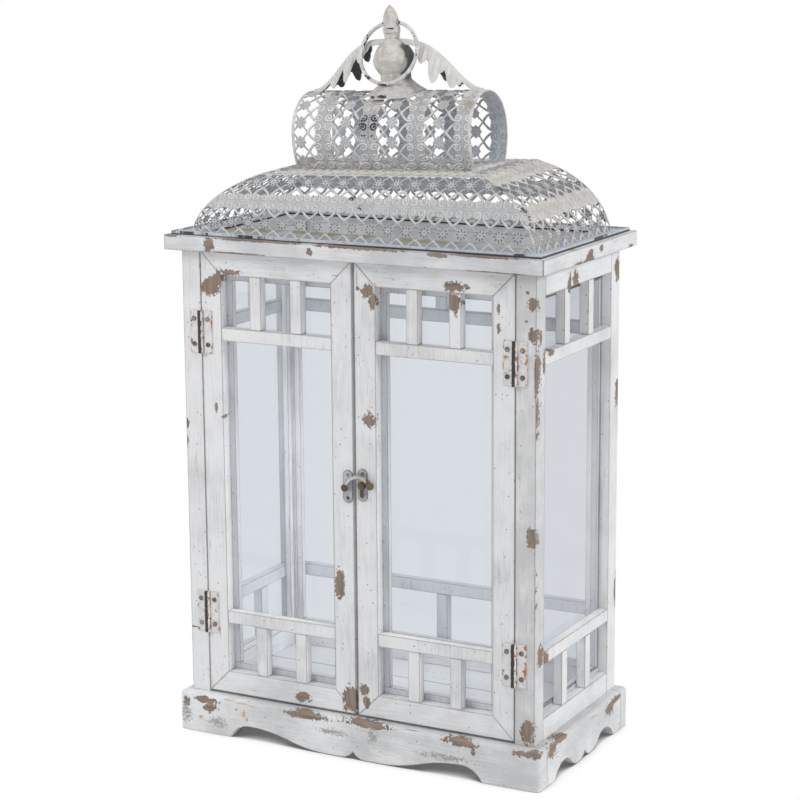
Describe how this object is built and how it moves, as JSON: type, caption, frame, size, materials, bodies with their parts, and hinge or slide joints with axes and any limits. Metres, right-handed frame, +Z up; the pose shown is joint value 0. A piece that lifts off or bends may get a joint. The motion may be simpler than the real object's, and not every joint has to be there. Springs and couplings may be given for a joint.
{
  "type": "candle lantern",
  "caption": "Free-standing glazed candle lantern: white wooden case with hinged doors and a latch, pierced metal roof with a barrel vent, and a finial with a carry ring.",
  "frame": {"origin": "centre of the bounding box, on the ground under the four feet", "axes": "+Z up, -Y out of the doors, +X to the viewer's right when facing the doors"},
  "size_m": [0.3646, 0.1978, 0.6516],
  "materials": {
    "white_wood": "worn white paint over brown wood",
    "clear_glass": "clear flat panes",
    "white_metal": "worn antique white paint over pierced sheet",
    "hinge_metal": "whitewashed steel with rusty edges",
    "dark_steel": "dark rusty steel",
    "latch_metal": "whitewashed plates with rust",
    "bronze": "dark bronze, worn",
    "grey_metal": "blue-grey sheet edge",
    "ring_wire": "worn white paint over dark wire"
  },
  "bodies": {
    "case": {"plinth_front": "white_wood", "plinth_back": "white_wood", "plinth_left": "white_wood", "plinth_right": "white_wood", "post_front_left": "white_wood", "post_front_right": "white_wood", "post_back_left": "white_wood", "post_back_right": "white_wood", "left_side_rails": "white_wood", "right_side_rails": "white_wood", "back_rails": "white_wood", "left_side_glazing_bars": "white_wood", "right_side_glazing_bars": "white_wood", "back_glazing_bars": "white_wood", "case_glazing_beads": "white_wood", "cornice_front": "white_wood", "cornice_back": "white_wood", "cornice_left": "white_wood", "cornice_right": "white_wood", "floor_planks": "white_wood", "left_side_glass": "clear_glass", "right_side_glass": "clear_glass", "back_glass": "clear_glass", "roof_front_panel": "white_metal", "roof_back_panel": "white_metal", "roof_left_panel": "white_metal", "roof_right_panel": "white_metal", "roof_top_plate": "white_metal", "barrel": "white_metal", "finial_skirt": "white_metal", "finial_ball": "white_metal", "finial_bud": "white_metal", "leaf_bracket_left": "white_metal", "leaf_bracket_right": "white_metal", "post_hinge_leaves": "hinge_metal", "hinge_pins": "dark_steel", "post_screws": "dark_steel", "roof_rim": "grey_metal"},
    "left_door": {"left_door_stiles": "white_wood", "left_door_rails": "white_wood", "left_door_glazing_bars": "white_wood", "left_door_glass": "clear_glass", "left_door_glazing_beads": "white_wood", "left_door_hinge_leaves": "hinge_metal", "left_door_screws": "dark_steel", "latch_arm_plate": "latch_metal", "left_latch_nails": "latch_metal", "latch_rivet": "bronze"},
    "right_door": {"right_door_stiles": "white_wood", "right_door_rails": "white_wood", "right_door_glazing_bars": "white_wood", "right_door_glass": "clear_glass", "right_door_glazing_beads": "white_wood", "right_door_hinge_leaves": "hinge_metal", "right_door_screws": "dark_steel", "latch_peg_plate": "latch_metal", "right_latch_nails": "latch_metal", "latch_peg": "bronze"},
    "latch_arm": {"latch_arm": "bronze"},
    "carry_ring": {"carry_ring": "ring_wire"}
  },
  "joints": [
    {"name": "left_door_hinge", "type": "hinge", "parent": "case", "child": "left_door", "pos_m": [-0.1524, -0.09015, 0.241], "axis": [0, 0, -1], "range_deg": [0, 170]},
    {"name": "right_door_hinge", "type": "hinge", "parent": "case", "child": "right_door", "pos_m": [0.1524, -0.09015, 0.241], "axis": [0, 0, 1], "range_deg": [0, 170]},
    {"name": "latch_arm_pivot", "type": "hinge", "parent": "left_door", "child": "latch_arm", "pos_m": [-0.0064, -0.09225, 0.245], "axis": [0, -1, 0], "range_deg": [0, 110]},
    {"name": "carry_ring_swing", "type": "hinge", "parent": "case", "child": "carry_ring", "pos_m": [-0.0079, 0, 0.63674], "axis": [-0.9954, 0, -0.0958], "range_deg": [0, 320]}
  ],
  "couplings": [
    {"joint": "right_door_hinge", "follows": "left_door_hinge", "ratio": 1}
  ]
}
